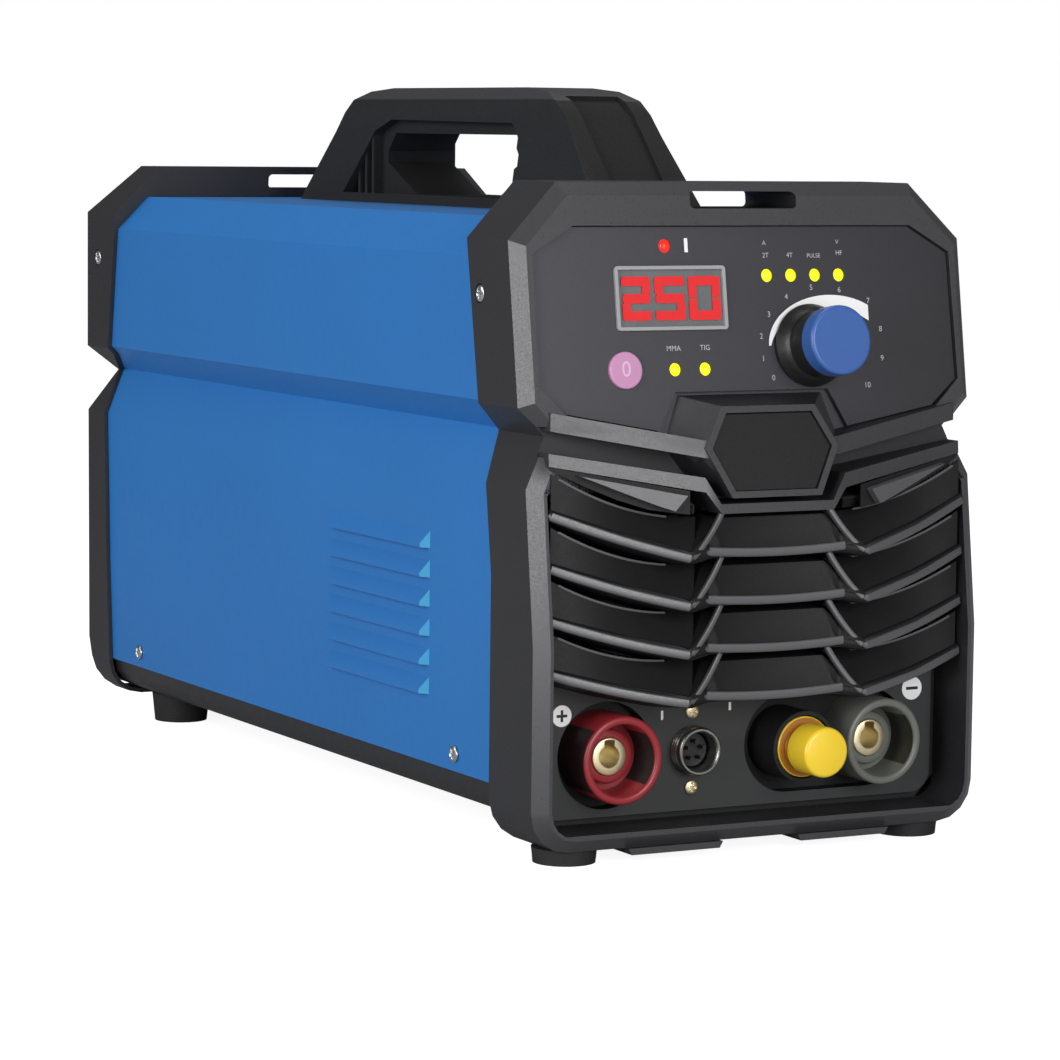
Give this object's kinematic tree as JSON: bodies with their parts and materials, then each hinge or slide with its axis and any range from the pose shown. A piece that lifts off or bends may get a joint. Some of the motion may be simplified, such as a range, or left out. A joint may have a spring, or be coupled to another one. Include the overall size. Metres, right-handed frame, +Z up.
{
  "type": "tig welding machine",
  "caption": "Portable TIG welding power source: folded steel cover between two moulded bezels, with carrying handle, leaning control panel, chevron air grille and output sockets.",
  "frame": {"origin": "on the floor, in the middle of the footprint, midway between the front and the rear rim", "axes": "+X to the right seen from the front, +Y from the front to the rear, +Z up"},
  "size_m": [0.2044, 0.486, 0.297],
  "materials": {
    "bezel_plastic": "charcoal moulded ABS, fine spark texture, satin on the bevels",
    "grille_plastic": "black moulded ABS, satin",
    "handle_plastic": "black moulded nylon, fine texture",
    "panel_film": "dark printed panel film",
    "display_frame": "grey moulded frame",
    "display_glass": "dark red filter",
    "black_nylon": "black nylon",
    "red_lamp": "red lens",
    "yellow_lamp": "yellow lens",
    "circuit_board": "green solder mask",
    "nickel": "bright plated steel",
    "button_mauve": "mauve button, satin",
    "knob_black": "black knob, satin",
    "knob_blue": "blue knob cap, satin",
    "socket_red": "dark red thermoset",
    "socket_grey": "dark grey thermoset",
    "brass": "turned brass",
    "copper": "copper strip",
    "chrome": "polished plating",
    "cap_yellow": "yellow moulded cap",
    "cover_blue": "blue powder coat",
    "pan_black": "black powder coat",
    "foot_rubber": "moulded rubber",
    "fan_black": "black fan plastic",
    "rocker_red": "red rocker",
    "valve_body": "moulded coil over a brass body",
    "hose_rubber": "smooth rubber hose",
    "aluminium": "extruded aluminium",
    "capacitor_sleeve": "shrink sleeve",
    "ferrite": "ferrite",
    "coil_tape": "winding tape",
    "coil_copper": "enamelled copper winding",
    "potting": "potted block"
  },
  "bodies": {
    "chassis": {"front_bezel": "bezel_plastic", "rear_bezel": "bezel_plastic", "front_grille": "grille_plastic", "badge_plate": "grille_plastic", "control_panel": "panel_film", "display_bezel": "display_frame", "display_window": "display_glass", "display_module": "black_nylon", "power_led": "red_lamp", "status_leds": "yellow_lamp", "control_board": "circuit_board", "board_pillars": "nickel", "button_switch": "black_nylon", "potentiometer": "nickel", "potentiometer_nut": "nickel", "positive_socket": "socket_red", "negative_socket": "socket_grey", "positive_insert": "brass", "negative_insert": "brass", "positive_busbar": "copper", "negative_busbar": "copper", "socket_nuts": "black_nylon", "terminal_nuts": "brass", "torch_socket": "chrome", "torch_contacts": "black_nylon", "torch_screws": "nickel", "gas_outlet": "brass", "steel_cover": "cover_blue", "base_pan": "pan_black", "rubber_feet": "foot_rubber", "bezel_screws": "nickel", "cover_screws": "nickel", "handle": "handle_plastic", "handle_screws": "nickel", "fan_frame": "fan_black", "fan_screws": "nickel", "power_switch": "black_nylon", "cable_gland": "black_nylon", "gland_cap": "black_nylon", "gland_nut": "black_nylon", "gas_inlet": "brass", "gas_valve": "valve_body", "gas_hose": "hose_rubber", "sink_rails": "black_nylon", "heat_sinks": "aluminium", "board_posts": "brass", "main_board": "circuit_board", "capacitors": "capacitor_sleeve", "transformer_core": "ferrite", "transformer_coil": "coil_tape", "output_choke": "coil_copper", "hf_igniter": "potting"},
    "current_knob": {"knob_shaft": "nickel", "knob_body": "knob_black", "knob_cap": "knob_blue"},
    "mode_button": {"mode_button": "button_mauve"},
    "power_rocker": {"power_rocker": "rocker_red"},
    "fan_rotor": {"fan_rotor": "fan_black"},
    "gas_outlet_cap": {"gas_outlet_cap": "cap_yellow"}
  },
  "joints": [
    {"name": "current_knob", "type": "hinge", "parent": "chassis", "child": "current_knob", "pos_m": [0.0275, -0.2162, 0.1967], "axis": [0, -0.9886, 0.1504], "range_deg": [-135, 135]},
    {"name": "mode_button", "type": "slide", "parent": "chassis", "child": "mode_button", "axis": [0, 0.9886, -0.1504], "range_m": [0, 0.0012], "stiffness_N_per_m": 800},
    {"name": "power_rocker", "type": "hinge", "parent": "chassis", "child": "power_rocker", "pos_m": [-0.06, 0.218, 0.208], "axis": [-1, 0, 0], "range_deg": [0, 20]},
    {"name": "fan_rotor", "type": "hinge", "parent": "chassis", "child": "fan_rotor", "pos_m": [0, 0.208, 0.08], "axis": [0, 1, 0], "continuous": true},
    {"name": "gas_outlet_cap", "type": "slide", "parent": "chassis", "child": "gas_outlet_cap", "axis": [0, -1, 0], "range_m": [0, 0.02]}
  ]
}
